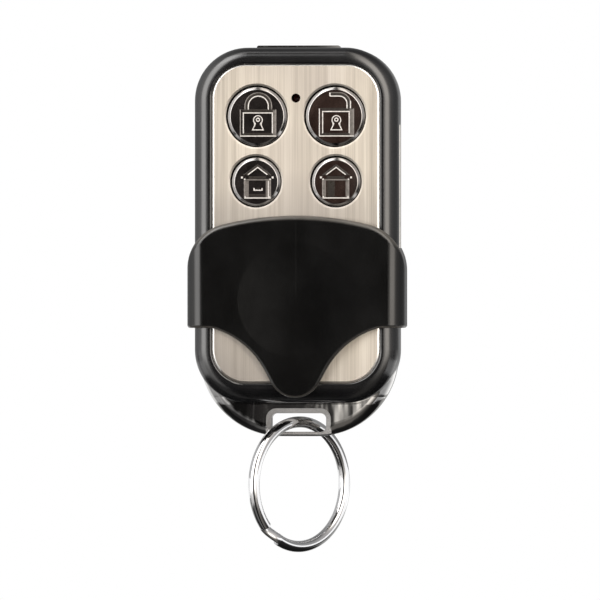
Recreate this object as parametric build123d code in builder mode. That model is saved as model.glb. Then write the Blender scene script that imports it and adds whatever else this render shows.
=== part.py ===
from build123d import *
import math
import os

# Four-button alarm key fob with a sliding cover and a split key ring.
# +Z runs up the length of the fob, +X to the right, the button face looks
# towards -Y.  The origin is on the flat back face, half way up the body, so
# a depth "d" below is the distance in front of the back face (y = -d).

# ---------------------------------------------------------------- dimensions
HALF_W = 16.3            # body half width
TOP_Z = 30.9             # top of the body
FRAME_BOTTOM_Z = -25.9   # lower end of the black front frame
CORNER_R = 8.5           # corner radius of the frame outline
TAIL_R = 13.2            # radius of the two arcs round the lower end
TAIL_HALF_W = 16.0
TAIL_BOTTOM_Z = -31.3    # lowest point of the body
TAIL_BACK_D = 0.8        # the lower end is thinner than the body
TAIL_FRONT_D = 5.4
TAIL_EDGE_R = 1.9

PART_D = 6.2             # parting line between rear shell and front frame
RIDGE_D = 12.0           # crest of the front frame
BACK_EDGE_R = 2.2
RIDGE_OUT_R = 2.3
RIDGE_IN_R = 0.3

CAV_HALF_W = 14.1        # inside of the housing
CAV_TOP_Z = 29.0
CAV_BOTTOM_Z = -24.5
CAV_R = 6.4
SHELL_FLOOR = 1.3
FLOOR_BACK_D = 9.55      # floor of the front frame, behind the plate
FLOOR_FRONT_D = 10.95

PLATE_W = 26.74          # brushed face plate
PLATE_TOP_Z = 28.2
PLATE_BOTTOM_Z = -22.7
PLATE_R = 5.4
PLATE_BACK_D = 11.10
PLATE_FRONT_D = 11.60
PLATE_EDGE = 0.28        # rolled edge round the plate and its holes
PLATE_EDGE_DROP = 0.08
FILM_CLEAR = 0.35        # the adhesive film stays inside the plate edge

BIG_X, BIG_Z, BIG_R = 6.25, 19.9, 4.66       # lock and unlock buttons
SMALL_X, SMALL_Z, SMALL_R = 6.4, 9.46, 3.84  # the two house buttons
PLATE_HOLE_GAP = 0.30
FLOOR_HOLE_GAP = 0.15
CAP_BEVEL = 0.42
CAP_BEVEL_D = 11.64
CAP_FACE_D = 11.94
CAP_DOME = 0.12
FLANGE_OUT = 0.35
FLANGE_FRONT_D = 9.45
FLANGE_BACK_D = 8.80
CAP_WALL = 0.85
CAP_ROOF_D = 10.90
STEM_R = 1.3

LED_X, LED_Z, LED_HOLE_R = 0.0, 22.8, 0.72

BOARD_BACK_D = 3.9
BOARD_FRONT_D = 4.9
BOARD_HALF_W = 13.6
BOARD_TOP_Z = 28.5
BOARD_BOTTOM_Z = -24.0
BOARD_R = 5.9

SWITCH_SIDE = 4.5
SWITCH_FRONT_D = 7.6
PLUNGER_R = 1.2
PLUNGER_BACK_D = 7.0
PLUNGER_FRONT_D = 9.2

BATTERY_R = 3.85         # 12 V cell, 7.7 mm across and 28.2 mm long
BATTERY_D = 5.25
BATTERY_TOP_Z = 7.8
BATTERY_BOTTOM_Z = -20.4

SCREWS = [(-11.0, 25.4), (11.0, 25.4), (-10.9, -19.6), (10.9, -19.6)]
SCREW_HEAD_R = 1.5
SCREW_RECESS_R = 1.7
SCREW_SEAT_D = 1.7
SCREW_R = 0.85
SCREW_TIP_D = 8.2
BOSS_R = 1.9

SLOT_HALF_W = 4.4        # hole for the key ring in the lower end
SLOT_TOP_Z = -27.6
SLOT_BOTTOM_Z = -30.6
SLOT_R = 0.9
SLOT_BEVEL_FRONT = 0.8   # countersink round the hole, front and back
SLOT_BEVEL_BACK = 0.4

COVER_HALF_W = 17.4      # sliding cover
COVER_FRONT_D = 13.6
COVER_OUT_R = 2.6
COVER_IN_HALF_W = 16.5
COVER_IN_D = 12.25
COVER_IN_R = 1.7
COVER_END_D = 4.3
COVER_EDGE_R = 0.85
COVER_SKIRT_EDGE_R = 0.45
ARCH_TOP_Z, ARCH_R, SHOULDER_R = 4.03, 49.1, 7.5
WING_BOTTOM_Z, NOSE_Z, NOSE_R, NOSE_SLOPE = -13.9, -25.05, 4.3, 62.0
FLARE_R, FLARE_SLOPE, BLEND_R = 13.7, 18.0, 4.0
COVER_TRAVEL = 23.0
HOOK_IN_X = 15.5
HOOK_BACK_D = 4.9
HOOK_FRONT_D = 6.05
HOOK_Z = (-13.4, -4.6)
GROOVE_X = 15.3
GROOVE_BACK_D = 4.75
STOP_GAP = 0.25
DISH_R, DISH_DEPTH, DISH_Z = 9.2, 0.22, -9.4

RING_OUT_R = 10.9        # split key ring, two half-round turns that make a round section
RING_WIRE_R = 0.9
RING_GAP = 0.05
RING_Z = -39.0
RING_YAW = 47.3          # the ring's plane is turned this far out of XZ
RING_STEP_AT = 232.0     # where one coil steps over to the other
RING_STEP_HALF = 10.0

FRONT = Plane.XZ         # local x = +X, local y = +Z, normal towards -Y


# ------------------------------------------------------------------ outlines
def rounded_box(half_w, top_z, bottom_z, radius):
    """Rounded rectangle in the front plane, centred on x = 0."""
    with Locations((0, (top_z + bottom_z) / 2)):
        RectangleRounded(2 * half_w, top_z - bottom_z, radius)


def tail_outline():
    """Lower end of the body: straight sides, then two arcs to the bottom."""
    cx = TAIL_HALF_W - TAIL_R
    cz = TAIL_BOTTOM_Z + TAIL_R
    q = TAIL_R * math.sqrt(0.5)
    with BuildLine() as line:
        Polyline((-TAIL_HALF_W, cz), (-TAIL_HALF_W, -13.0), (TAIL_HALF_W, -13.0), (TAIL_HALF_W, cz))
        ThreePointArc((TAIL_HALF_W, cz), (cx + q, cz - q), (cx, TAIL_BOTTOM_Z))
        Line((cx, TAIL_BOTTOM_Z), (-cx, TAIL_BOTTOM_Z))
        ThreePointArc((-cx, TAIL_BOTTOM_Z), (-cx - q, cz - q), (-TAIL_HALF_W, cz))
    make_face(line.edges())


os.makedirs("parts", exist_ok=True)

# ---------------------------------------------------------------- rear shell
# the thinner lower end, made first and joined to the tray below
with BuildPart() as tail:
    with BuildSketch(FRONT.offset(TAIL_BACK_D)):
        tail_outline()
    extrude(amount=TAIL_FRONT_D - TAIL_BACK_D)
    rim = (
        tail.faces().sort_by(Axis.Y)[0].edges() + tail.faces().sort_by(Axis.Y)[-1].edges()
    ).filter_by(lambda e: e.center().Z < -13.2)
    fillet(rim, TAIL_EDGE_R)

with BuildPart() as rear_shell:
    # tray under the front frame
    with BuildSketch(FRONT):
        rounded_box(HALF_W, TOP_Z, FRAME_BOTTOM_Z, CORNER_R)
    extrude(amount=PART_D)
    fillet(rear_shell.faces().sort_by(Axis.Y)[-1].edges(), BACK_EDGE_R)
    # small lip that shows above the frame
    with BuildSketch(FRONT.offset(2.6)):
        with Locations((0, TOP_Z)):
            RectangleRounded(13.3, 0.9, 0.3)
    extrude(amount=3.0)
    # thinner rounded lower end
    add(tail.part)
    # inside of the tray
    with BuildSketch(FRONT.offset(SHELL_FLOOR)):
        rounded_box(CAV_HALF_W, CAV_TOP_Z, CAV_BOTTOM_Z, CAV_R)
    extrude(amount=PART_D, mode=Mode.SUBTRACT)
    # screw bosses, wider round the head seats
    with BuildSketch(FRONT.offset(SHELL_FLOOR - 0.2)):
        with Locations(*SCREWS):
            Circle(2.5)
    extrude(amount=1.8)
    with BuildSketch(FRONT.offset(SHELL_FLOOR)):
        with Locations(*SCREWS):
            Circle(BOSS_R)
    extrude(amount=BOARD_FRONT_D + 0.05 - SHELL_FLOOR)
    # posts under the circuit board
    with BuildSketch(FRONT.offset(SHELL_FLOOR)):
        with Locations((-12.0, 9.5), (12.0, 9.5), (-12.0, -14.5), (12.0, -14.5), (0, 14.5)):
            Circle(0.9)
    extrude(amount=BOARD_BACK_D - SHELL_FLOOR)
    # screw holes and head seats
    with BuildSketch(FRONT):
        with Locations(*SCREWS):
            Circle(SCREW_RECESS_R)
    extrude(amount=SCREW_SEAT_D, mode=Mode.SUBTRACT)
    with BuildSketch(FRONT):
        with Locations(*SCREWS):
            Circle(SCREW_R + 0.1)
    extrude(amount=PART_D, mode=Mode.SUBTRACT)
    # grooves in both sides where the cover runs
    groove_low = HOOK_Z[0] - STOP_GAP
    groove_high = HOOK_Z[1] + COVER_TRAVEL + STOP_GAP
    with BuildSketch(FRONT.offset(GROOVE_BACK_D)):
        with Locations(
            (-(GROOVE_X + 1.5), (groove_low + groove_high) / 2),
            (GROOVE_X + 1.5, (groove_low + groove_high) / 2),
        ):
            Rectangle(3.0, groove_high - groove_low)
    extrude(amount=PART_D, mode=Mode.SUBTRACT)
    # key ring slot through the lower end
    with BuildSketch(FRONT):
        with Locations((0, (SLOT_TOP_Z + SLOT_BOTTOM_Z) / 2)):
            RectangleRounded(2 * SLOT_HALF_W, SLOT_TOP_Z - SLOT_BOTTOM_Z, SLOT_R)
    extrude(amount=PART_D, mode=Mode.SUBTRACT)
    slot_z = (SLOT_TOP_Z + SLOT_BOTTOM_Z) / 2
    slot_h = SLOT_TOP_Z - SLOT_BOTTOM_Z
    for level, bevel, toward in ((TAIL_FRONT_D, SLOT_BEVEL_FRONT, -1), (TAIL_BACK_D, SLOT_BEVEL_BACK, 1)):
        with BuildSketch(FRONT.offset(level)):
            with Locations((0, slot_z)):
                RectangleRounded(2 * (SLOT_HALF_W + bevel), slot_h + 2 * bevel, SLOT_R + bevel)
        extrude(amount=toward * bevel, taper=45, mode=Mode.SUBTRACT)
rear_shell.part.label = "rear_shell"
export_step(rear_shell.part, "parts/rear_shell.step")

# --------------------------------------------------------------- front frame
BUTTONS = [
    ("lock", -BIG_X, BIG_Z, BIG_R),
    ("unlock", BIG_X, BIG_Z, BIG_R),
    ("arm_home", -SMALL_X, SMALL_Z, SMALL_R),
    ("aux_home", SMALL_X, SMALL_Z, SMALL_R),
]


def button_circles(gap):
    for _, bx, bz, br in BUTTONS:
        with Locations((bx, bz)):
            Circle(br + gap)


with BuildPart() as front_frame:
    with BuildSketch(FRONT.offset(PART_D)):
        rounded_box(HALF_W, TOP_Z, FRAME_BOTTOM_Z, CORNER_R)
    extrude(amount=RIDGE_D - PART_D)
    fillet(front_frame.faces().sort_by(Axis.Y)[0].edges(), RIDGE_OUT_R)
    # pocket for the face plate
    with BuildSketch(FRONT.offset(FLOOR_FRONT_D)):
        rounded_box(PLATE_W / 2 + 0.05, PLATE_TOP_Z + 0.05, PLATE_BOTTOM_Z - 0.05, PLATE_R + 0.05)
    extrude(amount=3.0, mode=Mode.SUBTRACT)
    fillet(front_frame.faces().sort_by(Axis.Y)[0].inner_wires()[0].edges(), RIDGE_IN_R)
    # inside of the frame
    with BuildSketch(FRONT.offset(PART_D)):
        rounded_box(CAV_HALF_W, CAV_TOP_Z, CAV_BOTTOM_Z, CAV_R)
    extrude(amount=FLOOR_BACK_D - PART_D, mode=Mode.SUBTRACT)
    # locating lip that drops into the rear shell
    with BuildSketch(FRONT.offset(5.25)):
        rounded_box(CAV_HALF_W - 0.06, CAV_TOP_Z - 0.06, CAV_BOTTOM_Z + 0.06, CAV_R - 0.06)
    extrude(amount=PART_D - 5.25)
    with BuildSketch(FRONT.offset(5.25)):
        rounded_box(CAV_HALF_W - 0.7, CAV_TOP_Z - 0.7, CAV_BOTTOM_Z + 0.7, CAV_R - 0.7)
    extrude(amount=PART_D - 5.25, mode=Mode.SUBTRACT)
    # the lip joins the wall through a narrow shoulder
    with BuildSketch(FRONT.offset(PART_D)):
        rounded_box(CAV_HALF_W + 0.3, CAV_TOP_Z + 0.3, CAV_BOTTOM_Z - 0.3, CAV_R + 0.3)
        with Locations((0, (CAV_TOP_Z + CAV_BOTTOM_Z) / 2)):
            RectangleRounded(
                2 * (CAV_HALF_W - 0.7),
                CAV_TOP_Z - CAV_BOTTOM_Z - 1.4,
                CAV_R - 0.7,
                mode=Mode.SUBTRACT,
            )
    extrude(amount=0.6)
    # screw bosses
    with BuildSketch(FRONT.offset(5.0)):
        with Locations(*SCREWS):
            Circle(BOSS_R)
    extrude(amount=FLOOR_BACK_D - 5.0)
    with BuildSketch(FRONT.offset(5.0)):
        with Locations(*SCREWS):
            Circle(SCREW_R + 0.02)
    extrude(amount=3.6, mode=Mode.SUBTRACT)
    # button holes and the indicator hole
    with BuildSketch(FRONT.offset(FLOOR_BACK_D)):
        button_circles(FLOOR_HOLE_GAP)
        with Locations((LED_X, LED_Z)):
            Circle(1.3)
    extrude(amount=2.0, mode=Mode.SUBTRACT)
front_frame.part.label = "front_frame"
export_step(front_frame.part, "parts/front_frame.step")

# ---------------------------------------------------- face plate and its film
with BuildPart() as face_plate:
    with BuildSketch(FRONT.offset(PLATE_BACK_D)):
        rounded_box(PLATE_W / 2, PLATE_TOP_Z, PLATE_BOTTOM_Z, PLATE_R)
    extrude(amount=PLATE_FRONT_D - PLATE_BACK_D)
    with BuildSketch(FRONT.offset(PLATE_BACK_D)):
        button_circles(PLATE_HOLE_GAP)
    extrude(amount=2.0, mode=Mode.SUBTRACT)
    front_face = face_plate.faces().sort_by(Axis.Y)[0]
    chamfer(front_face.edges(), PLATE_EDGE, PLATE_EDGE_DROP, reference=front_face)
    with BuildSketch(FRONT.offset(PLATE_BACK_D)):
        with Locations((LED_X, LED_Z)):
            Circle(LED_HOLE_R)
    extrude(amount=2.0, mode=Mode.SUBTRACT)
face_plate.part.label = "face_plate"
export_step(face_plate.part, "parts/face_plate.step")

with BuildPart() as plate_film:
    with BuildSketch(FRONT.offset(FLOOR_FRONT_D)):
        rounded_box(
            PLATE_W / 2 - FILM_CLEAR,
            PLATE_TOP_Z - FILM_CLEAR,
            PLATE_BOTTOM_Z + FILM_CLEAR,
            PLATE_R - FILM_CLEAR,
        )
    extrude(amount=PLATE_BACK_D - FLOOR_FRONT_D)
    with BuildSketch(FRONT.offset(FLOOR_FRONT_D)):
        button_circles(0.45)
        with Locations((LED_X, LED_Z)):
            Circle(1.3)
    extrude(amount=1.0, mode=Mode.SUBTRACT)
plate_film.part.label = "plate_adhesive_film"
export_step(plate_film.part, "parts/plate_adhesive_film.step")

# ------------------------------------------------------------- sliding cover
def on_circle(cx, cz, r, degrees):
    a = math.radians(degrees)
    return (cx + r * math.cos(a), cz + r * math.sin(a))


def cover_points():
    """Right-hand side of the cover outline: arcs and lines that meet tangentially."""
    arch_cz = ARCH_TOP_Z - ARCH_R
    sh_cx = COVER_HALF_W - SHOULDER_R
    sh_cz = arch_cz + math.sqrt((ARCH_R - SHOULDER_R) ** 2 - sh_cx**2)
    join = math.degrees(math.atan2(sh_cz - arch_cz, sh_cx))
    s, c = math.sin(math.radians(NOSE_SLOPE)), math.cos(math.radians(NOSE_SLOPE))
    cf = math.cos(math.radians(FLARE_SLOPE))
    nose_cz = NOSE_Z + NOSE_R
    t1 = (NOSE_R * s, nose_cz - NOSE_R * c)
    run = (WING_BOTTOM_Z - t1[1] + FLARE_R * (c - cf) + BLEND_R * (cf - 1)) / s
    p2 = (t1[0] + run * c, t1[1] + run * s)
    c2 = (p2[0] + FLARE_R * s, p2[1] - FLARE_R * c)
    p3 = on_circle(*c2, FLARE_R, 90 + FLARE_SLOPE)
    c3 = (p3[0] + BLEND_R * math.sin(math.radians(FLARE_SLOPE)), p3[1] - BLEND_R * cf)
    return {
        "top": (0, ARCH_TOP_Z),
        "arch_mid": on_circle(0, arch_cz, ARCH_R, (90 + join) / 2),
        "join": on_circle(0, arch_cz, ARCH_R, join),
        "shoulder_mid": on_circle(sh_cx, sh_cz, SHOULDER_R, join / 2),
        "shoulder": (COVER_HALF_W, sh_cz),
        "corner": (COVER_HALF_W, WING_BOTTOM_Z),
        "blend": (c3[0], WING_BOTTOM_Z),
        "blend_mid": on_circle(*c3, BLEND_R, 90 + FLARE_SLOPE / 2),
        "flare": p3,
        "flare_mid": on_circle(*c2, FLARE_R, 90 + (FLARE_SLOPE + NOSE_SLOPE) / 2),
        "straight": p2,
        "nose": t1,
        "nose_mid": on_circle(0, nose_cz, NOSE_R, NOSE_SLOPE / 2 - 90),
        "tip": (0, NOSE_Z),
    }


def cover_outline():
    p = cover_points()
    with BuildLine() as line:
        for side in (1, -1):
            q = {k: (side * x, z) for k, (x, z) in p.items()}
            ThreePointArc(q["top"], q["arch_mid"], q["join"])
            ThreePointArc(q["join"], q["shoulder_mid"], q["shoulder"])
            Line(q["shoulder"], q["corner"])
            Line(q["corner"], q["blend"])
            ThreePointArc(q["blend"], q["blend_mid"], q["flare"])
            ThreePointArc(q["flare"], q["flare_mid"], q["straight"])
            Line(q["straight"], q["nose"])
            ThreePointArc(q["nose"], q["nose_mid"], q["tip"])
    make_face(line.edges())


# outer rounded section, drawn looking down the length of the fob
with BuildPart() as cover_section:
    with BuildSketch(Plane.XY.offset(-28.0)) as section:
        with Locations((0, -(COVER_FRONT_D + COVER_END_D) / 2)):
            Rectangle(2 * COVER_HALF_W, COVER_FRONT_D - COVER_END_D)
        fillet(section.vertices().group_by(Axis.Y)[0], COVER_OUT_R)
    extrude(amount=34.0)

# the space inside the cover, where the body runs
with BuildPart() as cover_bore:
    with BuildSketch(Plane.XY.offset(-29.0)) as bore:
        with Locations((0, -(COVER_IN_D + COVER_END_D - 2) / 2)):
            Rectangle(2 * COVER_IN_HALF_W, COVER_IN_D - COVER_END_D + 2)
        fillet(bore.vertices().group_by(Axis.Y)[0], COVER_IN_R)
    extrude(amount=36.0)

with BuildPart() as cover_body:
    with BuildSketch(FRONT):
        cover_outline()
    extrude(amount=COVER_FRONT_D)
    add(cover_section.part, mode=Mode.INTERSECT)
    skin = cover_body.edges().filter_by(
        lambda e: abs(e.center().Y + COVER_END_D) > 0.01
        and not (e.geom_type == GeomType.LINE and e.length > 4 and abs(e.center().X) > 14)
    )
    fillet(skin.filter_by(lambda e: e.center().Z > -4.2), COVER_EDGE_R)
    skin = cover_body.edges().filter_by(
        lambda e: abs(e.center().Y + COVER_END_D) > 0.01
        and e.center().Z < -13.0
        and e.length > 0.05
    )
    fillet(skin, COVER_SKIRT_EDGE_R)
    add(cover_bore.part, mode=Mode.SUBTRACT)
    # shallow round dish for the thumb
    dish_sphere_r = (DISH_R**2 + DISH_DEPTH**2) / (2 * DISH_DEPTH)
    with Locations((0, -(COVER_FRONT_D - DISH_DEPTH + dish_sphere_r), DISH_Z)):
        Sphere(dish_sphere_r, mode=Mode.SUBTRACT)
    # hooks that run in the side grooves
    with BuildSketch(FRONT.offset(HOOK_BACK_D)):
        with Locations(
            (-(HOOK_IN_X + COVER_IN_HALF_W + 0.3) / 2, sum(HOOK_Z) / 2),
            ((HOOK_IN_X + COVER_IN_HALF_W + 0.3) / 2, sum(HOOK_Z) / 2),
        ):
            Rectangle(COVER_IN_HALF_W + 0.3 - HOOK_IN_X, HOOK_Z[1] - HOOK_Z[0])
    extrude(amount=HOOK_FRONT_D - HOOK_BACK_D)

# both sides alike: the right-hand half and its mirror image
with BuildPart() as slide_cover:
    add(cover_body.part)
    split(bisect_by=Plane.YZ, keep=Keep.TOP)
    mirror(about=Plane.YZ)
slide_cover.part.label = "slide_cover"
export_step(slide_cover.part, "parts/slide_cover.step")

# -------------------------------------------- button caps, switches, plungers
for name, bx, bz, br in BUTTONS:
    level = Plane.XY.offset(bz)
    with BuildPart() as cap:
        with BuildSketch(level):
            with BuildLine():
                ThreePointArc(
                    (bx, -(CAP_FACE_D + CAP_DOME)),
                    (bx + (br - CAP_BEVEL) / 2, -(CAP_FACE_D + CAP_DOME * 0.75)),
                    (bx + br - CAP_BEVEL, -CAP_FACE_D),
                )
                Polyline(
                    (bx + br - CAP_BEVEL, -CAP_FACE_D),
                    (bx + br, -CAP_BEVEL_D),
                    (bx + br, -FLANGE_FRONT_D),
                    (bx + br + FLANGE_OUT, -FLANGE_FRONT_D),
                    (bx + br + FLANGE_OUT, -FLANGE_BACK_D),
                    (bx + br - CAP_WALL, -FLANGE_BACK_D),
                    (bx + br - CAP_WALL, -CAP_ROOF_D),
                    (bx + STEM_R, -CAP_ROOF_D),
                    (bx + STEM_R, -PLUNGER_FRONT_D),
                    (bx, -PLUNGER_FRONT_D),
                    (bx, -(CAP_FACE_D + CAP_DOME)),
                )
            make_face()
        revolve(axis=Axis((bx, 0, bz), (0, 1, 0)))
    cap.part.label = f"{name}_button"
    export_step(cap.part, f"parts/{name}_button.step")

    with BuildPart() as plunger:
        with BuildSketch(FRONT.offset(PLUNGER_BACK_D)):
            with Locations((bx, bz)):
                Circle(PLUNGER_R)
        extrude(amount=PLUNGER_FRONT_D - PLUNGER_BACK_D)
        fillet(plunger.edges().group_by(Axis.Y)[0], 0.2)
    plunger.part.label = f"{name}_switch_plunger"
    export_step(plunger.part, f"parts/{name}_switch_plunger.step")

    with BuildPart() as switch:
        with BuildSketch(FRONT.offset(BOARD_FRONT_D)):
            with Locations((bx, bz)):
                RectangleRounded(SWITCH_SIDE, SWITCH_SIDE, 0.4)
        extrude(amount=SWITCH_FRONT_D - BOARD_FRONT_D)
        with BuildSketch(FRONT.offset(PLUNGER_BACK_D - 0.45)):
            with Locations((bx, bz)):
                Circle(PLUNGER_R + 0.06)
        extrude(amount=2.0, mode=Mode.SUBTRACT)
        # rivet heads on the metal top
        with BuildSketch(FRONT.offset(SWITCH_FRONT_D)):
            with Locations((bx, bz)):
                with GridLocations(3.3, 3.3, 2, 2):
                    Circle(0.3)
        extrude(amount=0.12)
    switch.part.label = f"{name}_switch"
    export_step(switch.part, f"parts/{name}_switch.step")

with BuildPart() as switch_terminals:
    with BuildSketch(FRONT.offset(BOARD_FRONT_D)):
        for _, bx, bz, _ in BUTTONS:
            with Locations((bx, bz)):
                with GridLocations(3.0, SWITCH_SIDE + 0.8, 2, 2):
                    Rectangle(0.7, 0.8)
    extrude(amount=0.2)
switch_terminals.part.label = "switch_terminals"
export_step(switch_terminals.part, "parts/switch_terminals.step")

# -------------------------------------------------------------- circuit board
with BuildPart() as circuit_board:
    with BuildSketch(FRONT.offset(BOARD_BACK_D)):
        rounded_box(BOARD_HALF_W, BOARD_TOP_Z, BOARD_BOTTOM_Z, BOARD_R)
        with Locations((0, (8.4 - 22.5) / 2)):
            Rectangle(8.2, 30.9, mode=Mode.SUBTRACT)
        with Locations(*SCREWS):
            Circle(BOSS_R + 0.4, mode=Mode.SUBTRACT)
    extrude(amount=BOARD_FRONT_D - BOARD_BACK_D)
circuit_board.part.label = "circuit_board"
export_step(circuit_board.part, "parts/circuit_board.step")

with BuildPart() as loop_antenna:
    with BuildSketch(FRONT.offset(BOARD_FRONT_D)):
        with BuildLine():
            Polyline(
                (12.9, 12.5), (12.9, -14.2), (9.4, -16.2), (7.6, -18.4), (7.6, -23.2),
                (-7.6, -23.2), (-7.6, -18.4), (-9.4, -16.2), (-12.9, -14.2), (-12.9, 7.0),
            )
            offset(amount=0.45)
        make_face()
    extrude(amount=0.07)
loop_antenna.part.label = "loop_antenna"
export_step(loop_antenna.part, "parts/loop_antenna.step")

with BuildPart() as indicator_led:
    with BuildSketch(Plane.XY.offset(LED_Z)):
        with BuildLine():
            Polyline(
                (LED_X, -BOARD_FRONT_D), (LED_X + 1.15, -BOARD_FRONT_D),
                (LED_X + 1.15, -(BOARD_FRONT_D + 0.5)), (LED_X + 0.9, -(BOARD_FRONT_D + 0.5)),
                (LED_X + 0.9, -8.3),
            )
            ThreePointArc(
                (LED_X + 0.9, -8.3),
                (LED_X + 0.9 * math.sqrt(0.5), -(8.3 + 0.9 * math.sqrt(0.5))),
                (LED_X, -9.2),
            )
            Line((LED_X, -9.2), (LED_X, -BOARD_FRONT_D))
        make_face()
    revolve(axis=Axis((LED_X, 0, LED_Z), (0, 1, 0)))
indicator_led.part.label = "indicator_led"
export_step(indicator_led.part, "parts/indicator_led.step")

with BuildPart() as encoder_chip:
    with BuildSketch(FRONT.offset(BOARD_FRONT_D + 0.15)):
        with Locations((-9.2, 0.1)):
            Rectangle(3.9, 8.6)
    extrude(amount=1.5)
    chamfer(encoder_chip.faces().sort_by(Axis.Y)[0].edges(), 0.2)
    with BuildSketch(FRONT.offset(BOARD_FRONT_D + 1.5)):
        with Locations((-10.3, 3.6)):
            Circle(0.35)
    extrude(amount=1.0, mode=Mode.SUBTRACT)
encoder_chip.part.label = "encoder_chip"
export_step(encoder_chip.part, "parts/encoder_chip.step")

with BuildPart() as encoder_pins:
    with BuildSketch(FRONT.offset(BOARD_FRONT_D)):
        with Locations((-9.2, 0.1)):
            with GridLocations(4.9, 1.22, 2, 7):
                Rectangle(1.0, 0.42)
    extrude(amount=0.35)
encoder_pins.part.label = "encoder_pins"
export_step(encoder_pins.part, "parts/encoder_pins.step")

with BuildPart() as saw_resonator:
    with BuildSketch(FRONT.offset(BOARD_FRONT_D)):
        with Locations((8.4, -7.5)):
            Circle(3.9)
    extrude(amount=0.5)
    with BuildSketch(FRONT.offset(BOARD_FRONT_D)):
        with Locations((8.4, -7.5)):
            Circle(3.45)
    extrude(amount=3.2)
    fillet(saw_resonator.faces().sort_by(Axis.Y)[0].edges(), 0.4)
saw_resonator.part.label = "saw_resonator"
export_step(saw_resonator.part, "parts/saw_resonator.step")

with BuildPart() as rf_transistor:
    with BuildSketch(FRONT.offset(BOARD_FRONT_D + 0.12)):
        with Locations((9.0, 1.6)):
            Rectangle(2.9, 1.4)
    extrude(amount=1.0)
    with BuildSketch(FRONT.offset(BOARD_FRONT_D)):
        with Locations((8.05, 0.65), (9.95, 0.65), (9.0, 2.55)):
            Rectangle(0.45, 0.6)
    extrude(amount=0.5)
rf_transistor.part.label = "rf_transistor"
export_step(rf_transistor.part, "parts/rf_transistor.step")

with BuildPart() as trimmer_capacitor:
    with BuildSketch(FRONT.offset(BOARD_FRONT_D)):
        with Locations((-9.2, -9.0)):
            Rectangle(4.0, 3.2)
    extrude(amount=0.8)
    with BuildSketch(FRONT.offset(BOARD_FRONT_D + 0.8)):
        with Locations((-9.2, -9.0)):
            Circle(1.45)
    extrude(amount=0.7)
    with BuildSketch(FRONT.offset(BOARD_FRONT_D + 1.2)):
        with Locations((-9.2, -9.0)):
            Rectangle(2.2, 0.4)
    extrude(amount=0.6, mode=Mode.SUBTRACT)
trimmer_capacitor.part.label = "trimmer_capacitor"
export_step(trimmer_capacitor.part, "parts/trimmer_capacitor.step")

with BuildPart() as chip_resistors:
    with BuildSketch(FRONT.offset(BOARD_FRONT_D)):
        with Locations((-6.2, -13.6), (-9.0, -13.6), (6.6, -13.6), (9.4, -13.6), (-6.0, 14.9), (6.0, 14.9)):
            Rectangle(1.25, 2.0)
    extrude(amount=0.5)
chip_resistors.part.label = "chip_resistors"
export_step(chip_resistors.part, "parts/chip_resistors.step")

with BuildPart() as chip_capacitors:
    with BuildSketch(FRONT.offset(BOARD_FRONT_D)):
        with Locations((-6.6, -17.2), (6.6, -17.2), (6.2, 4.6), (11.2, 4.9)):
            Rectangle(2.0, 1.25)
    extrude(amount=0.8)
chip_capacitors.part.label = "chip_capacitors"
export_step(chip_capacitors.part, "parts/chip_capacitors.step")

# -------------------------------------------------------- battery and contacts
with BuildPart() as battery:
    with BuildSketch(Plane.XY.offset(BATTERY_BOTTOM_Z)):
        with Locations((0, -BATTERY_D)):
            Circle(BATTERY_R)
    extrude(amount=BATTERY_TOP_Z - 0.9 - BATTERY_BOTTOM_Z)
    fillet(battery.edges().filter_by(GeomType.CIRCLE), 0.35)
    with BuildSketch(Plane.XY.offset(BATTERY_TOP_Z - 0.9)):
        with Locations((0, -BATTERY_D)):
            Circle(1.9)
    extrude(amount=0.9)
battery.part.label = "battery"
export_step(battery.part, "parts/battery.step")

with BuildPart() as positive_contact:
    with BuildSketch(Plane.XY.offset(BATTERY_TOP_Z)):
        with Locations((0, -5.3)):
            RectangleRounded(5.6, 5.4, 0.8)
    extrude(amount=0.3)
    with BuildSketch(FRONT.offset(BOARD_FRONT_D)):
        with Locations((0, (BATTERY_TOP_Z + 10.9) / 2)):
            Rectangle(3.0, 10.9 - BATTERY_TOP_Z)
    extrude(amount=0.3)
positive_contact.part.label = "positive_contact"
export_step(positive_contact.part, "parts/positive_contact.step")

with BuildPart() as negative_contact:
    with BuildSketch(Plane.XY.offset(-22.4)):
        with Locations((0, -5.3)):
            RectangleRounded(6.4, 6.2, 0.8)
    extrude(amount=0.3)
    with BuildSketch(FRONT.offset(BOARD_FRONT_D + 0.1)):
        with Locations((0, (-22.1 - 23.6) / 2)):
            Rectangle(3.0, 1.5)
    extrude(amount=0.3)
negative_contact.part.label = "negative_contact"
export_step(negative_contact.part, "parts/negative_contact.step")

SPRING_WIRE = 0.2
SPRING_LOW = -22.1 + SPRING_WIRE + 0.02
SPRING_HIGH = BATTERY_BOTTOM_Z - SPRING_WIRE - 0.02
with BuildPart() as contact_spring:
    with BuildLine(Plane((0, -BATTERY_D, SPRING_LOW))) as coil:
        Helix(pitch=(SPRING_HIGH - SPRING_LOW) / 2.4, height=SPRING_HIGH - SPRING_LOW, radius=2.2)
    with BuildSketch(Plane(coil.line @ 0, z_dir=coil.line % 0)):
        Circle(SPRING_WIRE)
    sweep(path=coil.line)
contact_spring.part.label = "battery_contact_spring"
export_step(contact_spring.part, "parts/battery_contact_spring.step")

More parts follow.
